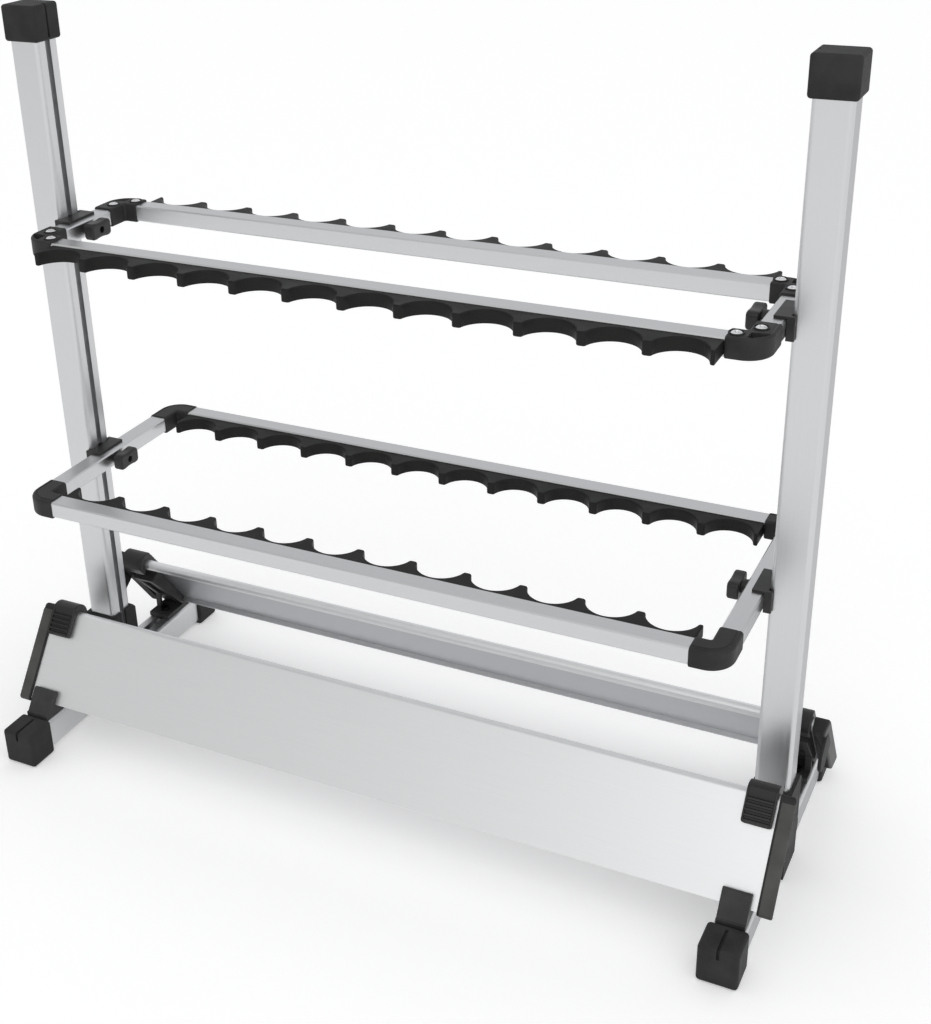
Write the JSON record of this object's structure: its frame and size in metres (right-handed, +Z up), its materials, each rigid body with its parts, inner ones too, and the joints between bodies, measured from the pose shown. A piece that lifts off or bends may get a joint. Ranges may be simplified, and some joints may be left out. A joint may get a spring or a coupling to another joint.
{
  "type": "fishing rod rack",
  "caption": "Free-standing aluminium rack with two uprights, two sliding frames of scalloped strips that hold fishing rods upright, and two leaning sheet panels at the foot.",
  "frame": {"origin": "centre of the footprint of the four feet, on the floor", "axes": "+X to the right along the rails, +Y away from the front panel, +Z up"},
  "size_m": [0.5784, 0.244, 0.533],
  "materials": {
    "aluminium": "satin",
    "sheet": "satin",
    "black_plastic": "matte",
    "cap_plastic": "matte",
    "grey_plastic": "matte",
    "strip_plastic": "matte",
    "steel": "bright"
  },
  "bodies": {
    "base": {"left_base_bar": "aluminium", "right_base_bar": "aluminium", "front_left_foot": "cap_plastic", "front_right_foot": "cap_plastic", "rear_left_foot": "cap_plastic", "rear_right_foot": "cap_plastic", "left_upright": "aluminium", "right_upright": "aluminium", "left_top_cap": "cap_plastic", "right_top_cap": "cap_plastic", "left_socket": "cap_plastic", "right_socket": "cap_plastic", "base_screws": "steel", "base_nuts": "steel", "front_left_panel_bracket": "black_plastic", "front_right_panel_bracket": "black_plastic", "rear_left_panel_bracket": "black_plastic", "rear_right_panel_bracket": "black_plastic", "front_panel": "sheet", "rear_panel": "sheet", "front_left_end_cap": "grey_plastic", "front_right_end_cap": "grey_plastic", "rear_left_end_cap": "grey_plastic", "rear_right_end_cap": "grey_plastic"},
    "upper_frame": {"upper_front_rail": "aluminium", "upper_rear_rail": "aluminium", "upper_left_rail": "aluminium", "upper_right_rail": "aluminium", "upper_front_left_corner": "cap_plastic", "upper_front_right_corner": "cap_plastic", "upper_rear_left_corner": "cap_plastic", "upper_rear_right_corner": "cap_plastic", "upper_corner_screws": "steel", "upper_front_strip": "strip_plastic", "upper_rear_strip": "strip_plastic", "upper_left_slider": "black_plastic", "upper_right_slider": "black_plastic", "upper_tee_nuts": "steel"},
    "lower_frame": {"lower_front_rail": "aluminium", "lower_rear_rail": "aluminium", "lower_left_rail": "aluminium", "lower_right_rail": "aluminium", "lower_front_left_corner": "cap_plastic", "lower_front_right_corner": "cap_plastic", "lower_rear_left_corner": "cap_plastic", "lower_rear_right_corner": "cap_plastic", "lower_corner_screws": "steel", "lower_front_strip": "strip_plastic", "lower_rear_strip": "strip_plastic", "lower_left_slider": "black_plastic", "lower_right_slider": "black_plastic", "lower_tee_nuts": "steel"},
    "upper_left_knob_body": {"upper_left_knob": "black_plastic"},
    "upper_right_knob_body": {"upper_right_knob": "black_plastic"},
    "lower_left_knob_body": {"lower_left_knob": "black_plastic"},
    "lower_right_knob_body": {"lower_right_knob": "black_plastic"},
    "front_left_latch_body": {"front_left_latch": "black_plastic"},
    "front_right_latch_body": {"front_right_latch": "black_plastic"},
    "rear_left_latch_body": {"rear_left_latch": "black_plastic"},
    "rear_right_latch_body": {"rear_right_latch": "black_plastic"}
  },
  "joints": [
    {"name": "upper_frame_slide", "type": "slide", "parent": "base", "child": "upper_frame", "axis": [0, 0, 1], "range_m": [-0.084, 0.112]},
    {"name": "upper_left_knob_turn", "type": "hinge", "parent": "upper_frame", "child": "upper_left_knob_body", "pos_m": [-0.2382, 0, 0.38235], "axis": [-1, 0, 0], "continuous": true},
    {"name": "upper_right_knob_turn", "type": "hinge", "parent": "upper_frame", "child": "upper_right_knob_body", "pos_m": [0.2382, 0, 0.38235], "axis": [1, 0, 0], "continuous": true},
    {"name": "lower_frame_slide", "type": "slide", "parent": "base", "child": "lower_frame", "axis": [0, 0, 1], "range_m": [-0.092, 0.06]},
    {"name": "lower_left_knob_turn", "type": "hinge", "parent": "lower_frame", "child": "lower_left_knob_body", "pos_m": [-0.2382, 0, 0.20635], "axis": [-1, 0, 0], "continuous": true},
    {"name": "lower_right_knob_turn", "type": "hinge", "parent": "lower_frame", "child": "lower_right_knob_body", "pos_m": [0.2382, 0, 0.20635], "axis": [1, 0, 0], "continuous": true},
    {"name": "front_left_latch_swing", "type": "hinge", "parent": "base", "child": "front_left_latch_body", "pos_m": [-0.26825, -0.04409, 0.08626], "axis": [-1, 0, 0], "range_deg": [0, 45]},
    {"name": "front_right_latch_swing", "type": "hinge", "parent": "base", "child": "front_right_latch_body", "pos_m": [0.26825, -0.04409, 0.08626], "axis": [-1, 0, 0], "range_deg": [0, 45]},
    {"name": "rear_left_latch_swing", "type": "hinge", "parent": "base", "child": "rear_left_latch_body", "pos_m": [-0.26825, 0.04409, 0.08626], "axis": [1, 0, 0], "range_deg": [0, 45]},
    {"name": "rear_right_latch_swing", "type": "hinge", "parent": "base", "child": "rear_right_latch_body", "pos_m": [0.26825, 0.04409, 0.08626], "axis": [1, 0, 0], "range_deg": [0, 45]}
  ]
}
